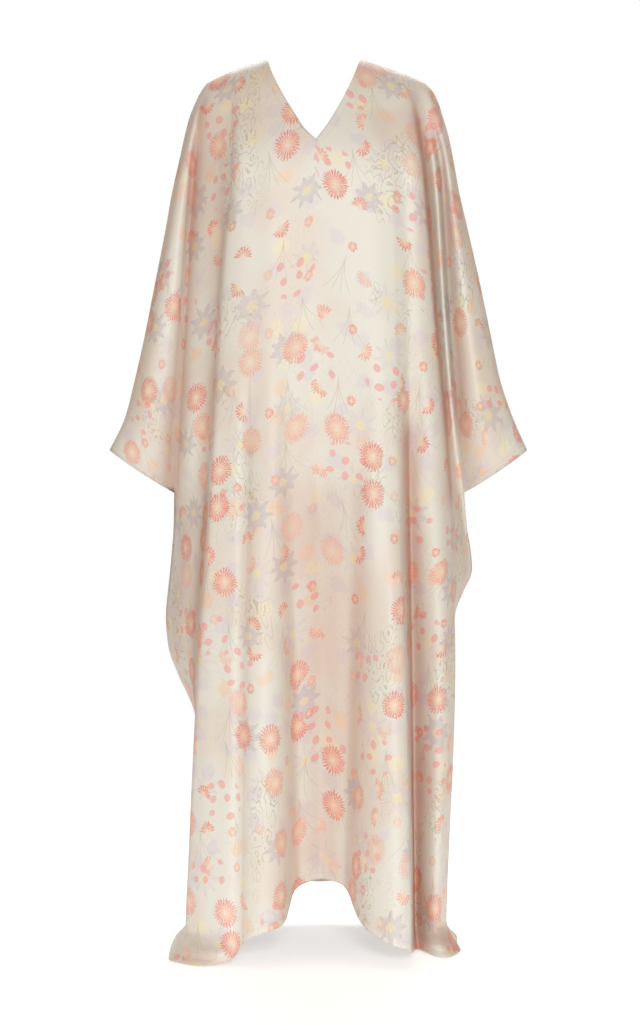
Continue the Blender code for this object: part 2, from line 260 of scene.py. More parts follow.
# Small folds of the front: place and height where each starts and ends, depth (a ridge is
# more than nothing, a groove less), and half its width in fold lines.
FRONT_CREASES = (
    ("shoulder groove left", 1.10, -62, 1.00, -330, -7, 0.16),
    ("shoulder ridge left", 1.42, -66, 1.50, -300, 7, 0.22),
    ("small groove left", 1.75, -110, 1.78, -210, -5, 0.13),
    ("sleeve groove left", 0.62, -150, 0.50, -640, -7, 0.12),
    ("sleeve ridge left", 0.80, -120, 0.74, -690, 5, 0.10),
    ("cuff fold left", 0.30, -420, 0.34, -690, 4, 0.10),
    ("drape fold left", 1.36, -160, 1.34, -700, 8, 0.14),
    ("wing fold left", 1.45, -760, 1.35, -1090, 6, 0.2),
    ("narrow ridge right", 9.96, -70, 9.98, -620, 7, 0.11),
    ("outer groove right", 10.16, -100, 10.13, -560, -9, 0.09),
    ("sleeve ridge right", 10.42, -150, 10.45, -690, 5, 0.14),
    ("cuff fold right", 10.7, -430, 10.62, -690, -4, 0.08),
    ("wing fold right", 9.5, -700, 9.5, -960, 6, 0.18),
    ("front crease left", 3.0, -560, 3.0, -1500, -11, 0.07),
    ("front crease side left", 3.16, -760, 3.14, -1500, 4, 0.08),
    ("ridge dip left", 2.55, -820, 2.5, -1480, -5, 0.16),
    ("ridge dip middle left", 3.62, -700, 3.6, -1460, -4, 0.18),
    ("arch groove left", 4.22, -860, 4.25, -1400, -8, 0.12),
    ("arch soft fold", 4.78, -700, 4.7, -1400, 5, 0.26),
    ("arch groove right", 5.72, -860, 5.7, -1400, -7, 0.14),
    ("ridge band right", 6.22, -640, 6.2, -1450, 5, 0.12),
    ("ridge dip right", 6.6, -800, 6.55, -1460, -4, 0.2),
    ("overlap lip", 6.94, -420, 6.95, -1470, 4, 0.06),
    ("pool fold left", 1.7, -1462, 2.8, -1500, -7, 0.22),
    ("pool lip left", 1.8, -1490, 2.8, -1512, 5, 0.22),
    ("pool fold right", 8.15, -1458, 9.3, -1504, -8, 0.16),
    ("groove side", 8.2, -640, 8.2, -1480, 11, 0.15),
    ("side ridge dip", 8.62, -640, 8.6, -1480, -4, 0.16),
    ("panel edge left", 2.05, -150, 2.05, -1080, 6, 0.07),
    ("panel edge right", 8.95, -90, 8.95, -700, 6, 0.06),
    ("overlap fold", 7.55, -300, 7.15, -760, 5, 0.12),
    ("chest dip right", 8.3, -120, 8.35, -560, 3, 0.3),
    ("neck strain left", 4.35, -40, 4.6, -260, 2, 0.3),
    ("neck strain right", 5.65, -40, 5.4, -260, 2, 0.3),
)
BACK_CREASES = (
    ("shoulder groove left", 1.15, -62, 1.1, -360, -9, 0.16),
    ("shoulder ridge left", 1.45, -66, 1.5, -340, 8, 0.2),
    ("sleeve groove left", 0.6, -150, 0.5, -640, -8, 0.12),
    ("cuff fold left", 0.3, -420, 0.34, -690, 4, 0.1),
    ("back crease left", 2.5, -420, 2.5, -1480, -7, 0.16),
    ("back ridge left", 3.5, -360, 3.45, -1440, 5, 0.14),
    ("back crease middle left", 4.5, -500, 4.45, -1420, -6, 0.15),
    ("back ridge middle", 5.3, -560, 5.25, -1420, 5, 0.14),
    ("back crease middle right", 6.45, -480, 6.5, -1420, -7, 0.13),
    ("back crease right", 7.5, -620, 7.4, -1450, -6, 0.16),
    ("back ridge right", 8.5, -400, 8.5, -1480, 6, 0.15),
    ("shoulder groove right", 9.85, -62, 9.9, -360, -9, 0.15),
    ("shoulder ridge right", 9.5, -66, 9.5, -330, 7, 0.2),
    ("sleeve groove right", 10.4, -150, 10.5, -640, -8, 0.12),
    ("cuff fold right", 10.7, -420, 10.66, -690, 4, 0.1),
    ("wing fold left", 1.5, -760, 1.4, -1090, 6, 0.2),
    ("wing fold right", 9.5, -700, 9.5, -960, 6, 0.18),
)


# Edges of the front that stay sharp: name, place, height where each starts and ends, and
# how far to each side, in fold lines.
SHARP_EDGES = (
    ("left sleeve groove", 1.0, -60, -1510, 0.16),
    ("left panel edge", 1.9, -190, -1510, 0.16),
    ("left crease", 3.0, -560, -1510, 0.08),
    ("left arch corner", 4.0, -1250, -1510, 0.10),
    ("right arch corner", 6.0, -1250, -1510, 0.10),
    ("overlap", 7.0, -330, -640, 0.08),
    ("overlap and groove", 7.5, -640, -1510, 0.42),
    ("right panel edge", 9.08, -70, -760, 0.16),
    ("right sleeve folds", 9.9, -60, -700, 0.30),
)

# How often the cloth between those edges is evened out, and the share of it that the
# sleeves and the cloth below the chest get.
RELAX_PASSES = 24
EVENED_ON_SLEEVE = 0.1
EVENED_BELOW_CHEST = 0.16

# Heights that sharp edges, creases and painted fold shade take to fade in or out, then where
# the chest's even cloth and the held side seams begin and how long each takes to begin.
EDGE_FADES_OVER = 110
CREASE_FADES_OVER = 90
SHADE_FADES_OVER = 60
CHEST_FROM = -640
CHEST_FADES_OVER = 220
SEAM_HELD_FROM = -540
SEAM_FADES_OVER = 170
SEAM_HELD_WIDTH = 0.3

# Painted shade: where the front's folds lie deep, the satin's colour is darkened and warmed
# to stand in for the shade inside them: name, place and height at the top and at the low end,
# half the width in fold lines, and how much.
PAINTED_SHADE_FOLDS = (
    ("left sleeve groove", 1.05, -60, 0.98, -735, 0.20, 0.8),
    ("left drape", 1.82, -150, 1.78, -735, 0.22, 0.3),
    ("behind the left panel", 1.86, -700, 1.90, -1120, 0.13, 0.6),
    ("left crease", 3.0, -540, 3.0, -1500, 0.05, 0.4),
    ("recess left side", 4.1, -700, 4.2, -1450, 0.28, 0.42),
    ("recess", 5.0, -700, 5.05, -1450, 0.95, 0.42),
    ("recess right side", 5.9, -700, 5.85, -1450, 0.22, 0.5),
    ("overlap groove", 7.75, -600, 7.95, -1510, 0.45, 1.0),
    ("right valley", 9.16, -70, 9.16, -735, 0.17, 1.0),
    ("right valley side", 9.42, -90, 9.42, -735, 0.20, 0.3),
    ("right outer line", 10.14, -110, 10.12, -620, 0.07, 0.6),
    ("left pool", 1.4, -1478, 2.6, -1506, 0.5, 0.5),
    ("right pool", 8.5, -1455, 9.2, -1510, 0.4, 0.8),
)


def smooth(at, table, column):
    """A table's column at any place: a cubic through its rows that never overshoots them."""
    rows = np.array(table, float)
    x, y = rows[:, 0], rows[:, column]
    if x[0] > x[-1]:
        x, y = x[::-1], y[::-1]
    step = np.diff(x)
    rise = np.diff(y) / step
    same = rise[1:] * rise[:-1] > 0
    both = np.where(same, rise[1:] + rise[:-1], 1.0)
    inner = np.where(same, 2 * rise[1:] * rise[:-1] / both, 0)
    slope = np.concatenate(([rise[0]], inner, [rise[-1]]))
    at = np.clip(at, x[0], x[-1])
    k = np.clip(np.searchsorted(x, at) - 1, 0, len(step) - 1)
    t = (at - x[k]) / step[k]
    start = y[k] * (1 + 2 * t) * (1 - t) ** 2 + slope[k] * step[k] * t * (1 - t) ** 2
    end = y[k + 1] * t * t * (3 - 2 * t) - slope[k + 1] * step[k] * t * t * (1 - t)
    return start + end


def ease(x):
    """Rises from 0 to 1 with level ends: 3 x squared less 2 x cubed."""
    x = np.clip(x, 0, 1)
    return x * x * (3 - 2 * x)


def line_points(lines, number, rows, side, hem_height):
    """A fold line's x, y, z and swell: z falls from the shoulder seam to the cuff's height
    as rows go from 0 to 1, and to the hem as they go from 1 to 2; the rest reads the tables
    at that z, and a quarter circle rounds it over the shoulder."""
    upper = np.minimum(rows, 1.0)
    lower = np.maximum(rows - 1.0, 0.0)
    leave = LEAVES_SHOULDER[number]
    outer = number in (0, LAST_LINE)
    top_x = float(smooth(leave, SHOULDER, 1 if side < 0 else 2))
    top_z = float(smooth(leave, SHOULDER, 3))
    bottom = CUFF_TIP if outer else CUFF_BOTTOM
    z = top_z + (bottom - top_z) * upper + (hem_height - CUFF_BOTTOM) * lower
    _, xs, ys, swells = lines[number]
    down = np.array((HEIGHTS, xs, ys, swells)).T
    y = smooth(z, down, 2)
    swell = smooth(z, down, 3)
    if outer:
        x = smooth(z, SLEEVE_TOP, 1 if side < 0 else 2)
    elif number in (1, LAST_LINE - 1):
        start = ((top_z, top_x), *zip(HEIGHTS[:3], xs[:3]), (CUFF_BOTTOM, xs[3]))
        seam_x = smooth(z, SIDE_SEAM, 1 if side < 0 else 2)
        x = np.where(rows <= 1, smooth(z, start, 1), seam_x)
        close = np.clip((z - CUFF_BOTTOM) / SIDE_CLOSES_OVER, 0, 1)
        y += (smooth(z, SIDE_SEAM, 3 if side < 0 else 4) - y) * (1 - close) ** 1.5
    elif number == MIDDLE_LINE:
        neck = smooth(z, NECKLINE, 1 if side < 0 else 2)
        below = ((NECK_DEPTH, 0.0), *zip(HEIGHTS[1:], xs[1:]))
        x = np.where(z >= NECK_DEPTH, neck, smooth(z, below, 1))
    else:
        x = smooth(z, ((top_z, top_x), *zip(HEIGHTS, xs)), 1)
    fall = np.clip((top_z - z) / SHOULDER_ROUND, 0, 1)
    shoulder = np.sqrt(1 - (1 - fall) ** 2)
    return x, y if outer else y * shoulder, z, swell * shoulder


def half_panel(lines, leans, places, rows, side, hem, spread, creases, forward):
    """The panel's left or right half, rows by columns: straight lines between neighbouring
    fold lines, bowed out by the swell times (4 s (1 - s)) to a power, spread at the hem's
    corners, and raised or pressed in along the small folds by a bell curve."""
    r = rows[:, None]
    hem_height = smooth(places, hem, 1)[None, :]
    first = 0 if side < 0 else MIDDLE_LINE
    last = MIDDLE_LINE if side < 0 else LAST_LINE
    along = np.array(
        [line_points(lines, n, r, side, hem_height) for n in range(first, last + 1)]
    )
    number = np.minimum(places.astype(int), last - 1)
    share = places - number
    column = np.arange(len(places))
    start = along[number - first, :, :, column].transpose(1, 2, 0)
    end = along[number - first + 1, :, :, column].transpose(1, 2, 0)
    x, y, z = start[:3] + (end[:3] - start[:3]) * share
    power = np.full(z.shape, BOW)
    outer = np.where(number == 0, share, 1 - share)
    on_sleeve = (number == 0) | (number == LAST_LINE - 1)
    power[:, on_sleeve] = BOW_ON_SLEEVE
    power += np.where(on_sleeve, BOW_ON_SLEEVE * outer, 0)
    beside_seam = (number == 1) | (number == LAST_LINE - 2)
    inner = np.where(number == 1, share, 1 - share)
    if forward > 0:
        power[:, number == LAST_LINE - 2] = BOW_IN_RIGHT_VALLEY
        power[:, number == LAST_LINE - 3] = BOW_BESIDE_VALLEY
    turn = np.clip((r - 0.8) / 0.2, 0, 1) * beside_seam
    power = power + (0.5 + 0.4 * inner - power) * turn
    leant = share ** np.array(leans, float)[number]
    y = y - start[3] * (4 * leant * (1 - leant)) ** power
    settle = np.clip((SPREAD_FROM - z) / (SPREAD_FROM - FLOOR), 0, 1) ** 1.3
    ahead = smooth(places, spread, 2)
    buckle = np.exp(-(((z - BUCKLE_HEIGHT) / BUCKLE_HALF_HEIGHT) ** 2))
    buckle = buckle * BUCKLE_DEPTH * ahead / LARGEST_SPREAD
    x = x + smooth(places, spread, 1) * settle
    y = y - ahead * settle - buckle * forward
    for _, top_place, top, low_place, low, depth, half_width in creases:
        down = np.clip((z - top) / (low - top), 0, 1)
        off = (places - (top_place + (low_place - top_place) * down)) / half_width
        from_top, from_low = (top - z) / CREASE_FADES_OVER, (z - low) / CREASE_FADES_OVER
        fade = ease(from_top + 0.25) * ease(from_low + 0.5)
        y = y - forward * depth * np.exp(-(off**2)) * fade
    return np.stack((x, y, z), 2)


def even_out(y, share, middle, neck_row):
    """Each point's y goes a share of the way to the mean of its two neighbours across; the
    two columns in the middle are one below the V and edges above it."""
    mean = (np.roll(y, 1, 1) + np.roll(y, -1, 1)) / 2
    centre = (y[neck_row:, middle - 2] + y[neck_row:, middle + 1]) / 2
    mean[neck_row:, middle - 1] = centre
    mean[neck_row:, middle] = centre
    mean[:neck_row, middle - 1 : middle + 1] = y[:neck_row, middle - 1 : middle + 1]
    mean[:, [0, -1]] = y[:, [0, -1]]
    return y + (mean - y) * share


def relax(grid, places, middle, neck_row, forward):
    """Evens out the cloth between its sharp edges, most on the chest; the side seams stay."""
    z = grid[:, :, 2]
    sharp = np.zeros(z.shape)
    if forward > 0:
        for _, place, top, low, width in SHARP_EDGES:
            near = np.clip(1.6 - abs(places - place) / width, 0, 1)[None, :]
            from_top, from_low = (top - z) / EDGE_FADES_OVER, (z - low) / EDGE_FADES_OVER
            sharp = np.maximum(sharp, near * ease(from_top) * ease(from_low + 1))
    on_sleeve = (places < 1) | (places > LAST_LINE - 1)
    chest = ease((z - CHEST_FROM) / CHEST_FADES_OVER)
    evened = EVENED_BELOW_CHEST + (1 - EVENED_BELOW_CHEST) * chest
    share = 0.5 * (1 - sharp) * np.where(on_sleeve[None, :], EVENED_ON_SLEEVE, evened)
    from_seam = np.minimum(abs(places - 1), abs(places - LAST_LINE + 1))
    beside = 1 - np.clip(from_seam / SEAM_HELD_WIDTH, 0, 1)
    share *= 1 - ease((SEAM_HELD_FROM - z) / SEAM_FADES_OVER) * beside
    for _ in range(RELAX_PASSES):
        grid[:, :, 1] = even_out(grid[:, :, 1], share, middle, neck_row)


def fold_shade_amount(grid, places, forward):
    """How much painted fold shade each point gets, from 0 to 1, as its table places the folds."""
    z = grid[:, :, 2]
    depth = np.zeros(z.shape)
    if forward > 0:
        for _, top_place, top, low_place, low, width, share in PAINTED_SHADE_FOLDS:
            down = np.clip((z - top) / (low - top), 0, 1)
            off = (places - (top_place + (low_place - top_place) * down)) / width
            from_top, from_low = (top - z) / SHADE_FADES_OVER, (z - low) / SHADE_FADES_OVER
            fade = ease(from_top + 0.3) * ease(from_low + 0.7)
            depth = np.maximum(depth, share * np.exp(-(off**2)) * fade)
    return depth


def panel_grid(lines, leans, hem, spread, creases, forward):
    """The whole panel: left and right halves side by side, with the middle column twice;
    then its columns' places, its rows' shares, how many columns are in the left half, and
    the row at the point of the V."""
    steps = np.array(UPPER_ROWS + tuple(1 + share for share in LOWER_ROWS))
    fine = np.arange((len(steps) - 1) * ROW_STEPS + 1) / ROW_STEPS
    rows = np.interp(fine, np.arange(len(steps)), steps)
    even = np.arange(0, LAST_LINE * COLUMNS_PER_GAP + 1) / COLUMNS_PER_GAP
    places = even.copy()
    left_end, right_end = even < 1, even > LAST_LINE - 1
    places[left_end] = 1 - np.cos(even[left_end] * np.pi / 2)
    places[right_end] = LAST_LINE - 1 + np.sin((even[right_end] - LAST_LINE + 1) * np.pi / 2)
    left_places = places[places <= MIDDLE_LINE]
    right_places = places[places >= MIDDLE_LINE]
    rest = (hem, spread, creases, forward)
    left = half_panel(lines, leans, left_places, rows, -1, *rest)
    right = half_panel(lines, leans, right_places, rows, 1, *rest)
    neck_row = int(np.argmin(abs(rows - NECK_SHARE)))
    left[neck_row:, -1] = right[neck_row:, 0]
    grid = np.concatenate((left, right), 1)
    places = np.concatenate((left_places, right_places))
    relax(grid, places, len(left_places), neck_row, forward)
    return grid, places, rows, len(left_places), neck_row


def flat_places(grid, middle):
    """The cloth's flat place: across is the arc length from the middle, down is the arc
    length from the shoulder seam."""
    across = np.linalg.norm(np.diff(grid, axis=1), axis=2)
    left, right = across[:, : middle - 1], across[:, middle:]
    u = np.zeros(grid.shape[:2])
    u[:, : middle - 1] = -np.cumsum(left[:, ::-1], axis=1)[:, ::-1]
    u[:, middle + 1 :] = np.cumsum(right, axis=1)
    u[:, :middle] += grid[:, middle - 1, :1]
    u[:, middle:] += grid[:, middle, :1]
    down = np.linalg.norm(np.diff(grid, axis=0), axis=2)
    v = np.zeros(grid.shape[:2])
    v[1:] = np.cumsum(down, axis=0)
    return u, v


FAR = 999.0


def edge_distance(u, v, places, rows, middle, neck_row):
    """The distance along the cloth to its nearest turned edge: neckline, cuff or hem."""
    far = np.full(u.shape, FAR)
    neck = far.copy()
    open_rows = slice(0, neck_row + 1)
    for side, neck_column in ((slice(0, middle), middle - 1), (slice(middle, None), middle)):
        neck[open_rows, side] = abs(u[open_rows, side] - u[open_rows, neck_column, None])
    hem = abs(v[-1:] - v)
    sleeve = (places <= 1) | (places >= LAST_LINE - 1)
    cuff_row = int(np.argmin(abs(rows - 1)))
    cuff = np.where(sleeve[None, :], abs(v[cuff_row : cuff_row + 1] - v), far)
    return np.minimum(np.minimum(neck, cuff), np.where(sleeve[None, :], far, hem))


def make_cloth(name, lines, leans, hem, spread, creases, forward, materials):
    """A thin shell on the panel's grid, without the cells below the cuffs and inside the V."""
    shape = (lines, leans, hem, spread, creases, forward)
    grid, places, rows, middle, neck_row = panel_grid(*shape)
    # Painted shade: how far each point is darkened as if shaded inside a deep fold.
    painted_shade = fold_shade_amount(grid, places, forward)
    grid[:, :, 1] -= forward * SEAM_CLEAR
    u, v = flat_places(grid, middle)
    edge = edge_distance(u, v, places, rows, middle, neck_row)
    number = np.arange(grid.shape[0] * grid.shape[1]).reshape(grid.shape[:2])
    number[neck_row:, middle] = number[neck_row:, middle - 1]
    cells = np.stack((number[:-1, :-1], number[1:, :-1], number[1:, 1:], number[:-1, 1:]), 2)
    keep = np.ones(cells.shape[:2], bool)
    keep[:, middle - 1] = False
    on_sleeve = (places[:-1] < 1) | (places[1:] > LAST_LINE - 1)
    keep[np.ix_(rows[:-1] >= 1, on_sleeve)] = False
    faces = cells[keep]
    if forward < 0:
        faces = faces[:, ::-1]
    used, faces = np.unique(faces, return_inverse=True)
    faces = faces.reshape(-1, 4)
    mesh = bpy.data.meshes.new(name)
    mesh.from_pydata((grid.reshape(-1, 3)[used] * MM).tolist(), [], faces.tolist())
    corner = faces.ravel()
    uv = mesh.uv_layers.new(name="flat_cloth")
    places_uv = np.stack((u.ravel()[used][corner], v.ravel()[used][corner]), 1) * MM
    uv.data.foreach_set("uv", places_uv.ravel())
    for label, values in (("edge_distance", edge * MM), ("painted_shade", painted_shade)):
        attribute = mesh.attributes.new(label, "FLOAT", "POINT")
        attribute.data.foreach_set("value", values.ravel()[used])
    mesh.polygons.foreach_set("use_smooth", np.ones(len(faces), bool))
    mesh.update()
    piece = bpy.data.objects.new(name, mesh)
    bpy.context.scene.collection.objects.link(piece)
    for material in materials:
        mesh.materials.append(material)
    wall = piece.modifiers.new("cloth thickness", "SOLIDIFY")
    wall.thickness = CLOTH * MM
    wall.offset = 0
    wall.use_even_offset = False
    wall.material_offset = 1
    return piece


class Value:
    """A number or vector that changes over the surface; arithmetic on it adds Math nodes."""

    def __init__(self, tree, socket):
        self.tree = tree
        self.socket = socket

    def _math(self, operation, *others):
        return self.tree.node("ShaderNodeMath", {"operation": operation}, [self, *others])

    def __add__(self, other):
        return self._math("ADD", other)

    __radd__ = __add__

    def __sub__(self, other):
        return self._math("SUBTRACT", other)

    def __rsub__(self, other):
        return self.tree.node("ShaderNodeMath", {"operation": "SUBTRACT"}, [other, self])

    def __mul__(self, other):
        return self._math("MULTIPLY", other)

    __rmul__ = __mul__

    def __truediv__(self, other):
        return self._math("DIVIDE", other)

    def __pow__(self, other):
        return self._math("POWER", other)

    def __gt__(self, other):
        return self._math("GREATER_THAN", other)

    def most(self, other):
        return self._math("MAXIMUM", other)

    def size(self):
        return self._math("ABSOLUTE")

    def sine(self):
        return self._math("SINE")

    def cosine(self):
        return self._math("COSINE")

    def angle(self, other):
        return self._math("ARCTAN2", other)

    def parts(self):
        """A vector's x, y and z."""
        x = self.tree.node("ShaderNodeSeparateXYZ", {}, [self])
        outputs = x.socket.node.outputs
        return x, Value(self.tree, outputs[1]), Value(self.tree, outputs[2])


class Tree:
    """A node tree whose nodes are all added by one method."""

    def __init__(self, owner):
        owner.use_nodes = True
        self.nodes = owner.node_tree.nodes
        self.links = owner.node_tree.links

    def node(self, kind, settings=None, inputs=(), output=0):
        """A node of a type: its settings first, then its sockets' values or links."""
        made = self.nodes.new(kind)
        for key, value in (settings or {}).items():
            setattr(made, key, value)
        pairs = inputs.items() if isinstance(inputs, dict) else enumerate(inputs)
        for socket, value in pairs:
            self.put(made.inputs[socket], value)
        return Value(self, made.outputs[output])

    def put(self, socket, value):
        """Links a value to a socket, or sets the number or colour there."""
        if isinstance(value, Value):
            self.links.new(value.socket, socket)
        elif isinstance(value, tuple) and len(value) == 3 and socket.type == "RGBA":
            socket.default_value = (*value, 1)
        else:
            socket.default_value = value

    def mix(self, share, a, b, blend="MIX"):
        """Colour a where share is 0, and b, or a blended with b, where it is 1."""
        settings = {"data_type": "RGBA", "blend_type": blend}
        return self.node("ShaderNodeMix", settings, {0: share, 6: a, 7: b}, 2)

    def vector(self, operation, *inputs):
        return self.node("ShaderNodeVectorMath", {"operation": operation}, list(inputs))

    def step(self, value, low, high):
        """0 at low, 1 at high, level at both ends; low may be the larger."""
        inputs = {0: value, 1: low, 2: high, 3: 0.0, 4: 1.0}
        settings = {"interpolation_type": "SMOOTHSTEP"}
        return self.node("ShaderNodeMapRange", settings, inputs)

    def noise(self, place, scale, detail=1.0, output=0):
        """A soft random cloud from 0 to 1."""
        inputs = {"Vector": place, "Scale": scale, "Detail": detail}
        return self.node("ShaderNodeTexNoise", {"noise_dimensions": "2D"}, inputs, output)

    def scatter(self, place, spacing, loose, shift):
        """A loose scatter of centres, one to each square of the spacing: the x and y from the
        nearest centre, and its three random numbers."""
        moved = self.vector("ADD", place, (shift, shift * 0.7, 0.0))
        inputs = {"Vector": moved, "Scale": 1 / spacing, "Randomness": loose}
        colour = self.node("ShaderNodeTexVoronoi", {"voronoi_dimensions": "2D"}, inputs, 1)
        centre = Value(self, colour.socket.node.outputs["Position"])
        x, y, _ = self.vector("SUBTRACT", moved, centre).parts()
        return x, y, colour.parts()


IVORY = (0.755, 0.76, 0.70)
IVORY_WARM = (0.745, 0.69, 0.62)
CORAL = (0.79, 0.25, 0.21)
PEACH = (0.83, 0.38, 0.30)
ROSE = (0.86, 0.34, 0.34)
LEMON = (0.84, 0.76, 0.44)
LEMON_PALE = (0.85, 0.78, 0.52)
PETAL_PALE = (0.89, 0.74, 0.60)
PEACH_PALE = (0.87, 0.60, 0.42)
LILAC = (0.53, 0.49, 0.56)
LILAC_PALE = (0.69, 0.63, 0.70)
SAGE = (0.47, 0.44, 0.27)
RUSSET = (0.60, 0.34, 0.24)
REVERSE = (0.58, 0.46, 0.37)
# Warm brown that the base colour is multiplied towards in deep folds: painted shade.
PAINTED_SHADE_COLOUR = (0.74, 0.50, 0.43)

FLOWER_SPACING = 0.068
BUD_SPACING = 0.027
CLUSTER_SPACING = 0.165
STAR_SPACING = 0.118
SPRIG_SPACING = 0.122
STRAND = 0.128

# Turned edges, in metres: how far in the stitching runs, half its width, and how far the
# stitches' wave turns, in radians for each metre.
HEM_WIDTH = 0.012
STITCH_HALF_WIDTH = 0.0018
STITCH_TURNS = 2100.0
THREAD = (0.42, 0.33, 0.26)
SHEEN_ROUGHNESS = 0.43


def flowers(tree, place):
    """Daisies of three sizes, the middle ones open to one side like a fan: coral strokes, each
    a ray where the sine of the angle times half their number is large, parted by cream."""
    x, y, (kind, turn, tone) = tree.scatter(place, FLOWER_SPACING, 0.72, 0.013)
    big, middle = kind > 0.62, kind > 0.30
    radius = 0.0086 + middle * 0.0078 + big * 0.0074
    away = (x * x * 1.25 + y * y * 0.9) ** 0.5
    around = y.angle(x)
    ragged = tree.noise(place, 300.0) - 0.5
    share = away / radius + ragged * 0.45
    rays = ((6.0 + middle * 2.0 + big * 5.0) * around + ragged * 3.2).sine().size()
    fan = (around - turn * 6.283).cosine() + 0.15 + (1.0 - middle) * 2.0 + big * 2.0
    fan = tree.step(fan, 0.0, 0.16).most(tree.step(share, 0.26, 0.18))
    disc = tree.step(0.58 + rays * 0.46 - share, -0.04, 0.08) * fan
    stroke = tree.step(rays + share * 0.10, 0.44, 0.80) * tree.step(share, 0.02, 0.22)
    return disc, stroke * disc, tree.step(share, 0.10, 0.62), tone


def strand(tree, place):
    """1 along the upright strands that carry most leaves and lines, 0 between them."""
    u, _, _ = place.parts()
    wide = tree.noise(place, 11.0) * 0.03
    off = tree.node("ShaderNodeMath", {"operation": "WRAP"}, [u - STRAND, STRAND, -STRAND])
    return tree.step(off.size() + wide, 0.062, 0.032)


def vines(tree, place):
    """Line-drawn foliage: the contour lines of a soft cloud, broken up, in loose clumps."""
    stretched = tree.vector("MULTIPLY", place, (1.0, 0.55, 1.0))
    cloud = tree.noise(stretched, 74.0, 0.6) * 4.0
    line = tree.node("ShaderNodeMath", {"operation": "WRAP"}, [cloud, 0.5, -0.5]).size()
    clumps = tree.step(tree.noise(stretched, 13.0, 0.0), 0.45, 0.55)
    return tree.step(line, 0.12, 0.04) * clumps * (0.2 + 0.8 * strand(tree, place))


def patches(tree, place):
    """Soft woven patches of lemon, peach and lilac, one in each square of a loose scatter."""
    x, y, (kind, _, tone) = tree.scatter(place, 0.047, 0.85, 7.7)
    ragged = tree.noise(place, 62.0, 2.0) * 0.020
    soft = tree.step((x * x + y * y) ** 0.5 + ragged, 0.027, 0.019)
    return soft * (kind > 0.35), tone


def buds(tree, place):
    """Groups of pink buds: small pointed ovals, kept only near a group's centre."""
    gx, gy, _ = tree.scatter(place, CLUSTER_SPACING, 0.8, 0.4)
    group = tree.step((gx * gx + gy * gy) ** 0.5, 0.040, 0.034)
    x, y, (turn, size, _) = tree.scatter(place, BUD_SPACING, 0.45, 0.9)
    turn = turn * 6.283
    along = x * turn.cosine() + y * turn.sine()
    across = y * turn.cosine() - x * turn.sine()
    half = 0.0066 + size * 0.0024
    shape = (along / half) ** 2.0 + (across / half).size() * 0.55 + (across / half) ** 2.0
    return tree.step(shape, 1.0, 0.86) * group


def stars(tree, place):
    """Leaf stars: the rim is a small round middle plus pointed spikes, split by darker veins,
    round a lemon eye; some are only faintly woven."""
    x, y, (turn, size, tone) = tree.scatter(place, STAR_SPACING, 0.62, 2.3)
    away = (x * x + y * y) ** 0.5
    share = away / (0.026 + size * 0.009)
    spike = 1.0 - ((y.angle(x) + turn * 3.1) * 4.0).sine().size() ** 1.2
    ragged = tree.noise(place, 140.0)
    rim = 0.60 + spike * 0.38 + (ragged - 0.5) * 0.45
    star = tree.step(rim - share, -0.03, 0.04)
    vein = tree.step(spike, 0.9, 0.99) * tree.step(share, 0.2, 0.4)
    eye = tree.step(share + (ragged - 0.5) * 0.3, 0.30, 0.22)
    return star, eye, vein, tree.step(tone, 0.35, 0.65)


def sprigs(tree, place):
    """Line-drawn grass: four thin curved blades, each the line where x is a number times the
    square of y."""
    x, y, (bend, lean, _) = tree.scatter(place, SPRIG_SPACING, 0.7, 5.1)
    height = tree.step(y.size(), 0.034, 0.030)
    wide = x + (lean - 0.5) * y * 0.6
    line = None
    for curve in (-6.0, -2.0, 2.5, 7.0):
        off = (wide - (y + 0.034) * (y + 0.034) * curve * (0.6 + bend)).size()
        blade = tree.step(off, 0.00075, 0.0003)
        line = blade if line is None else line.most(blade)
    return line * height


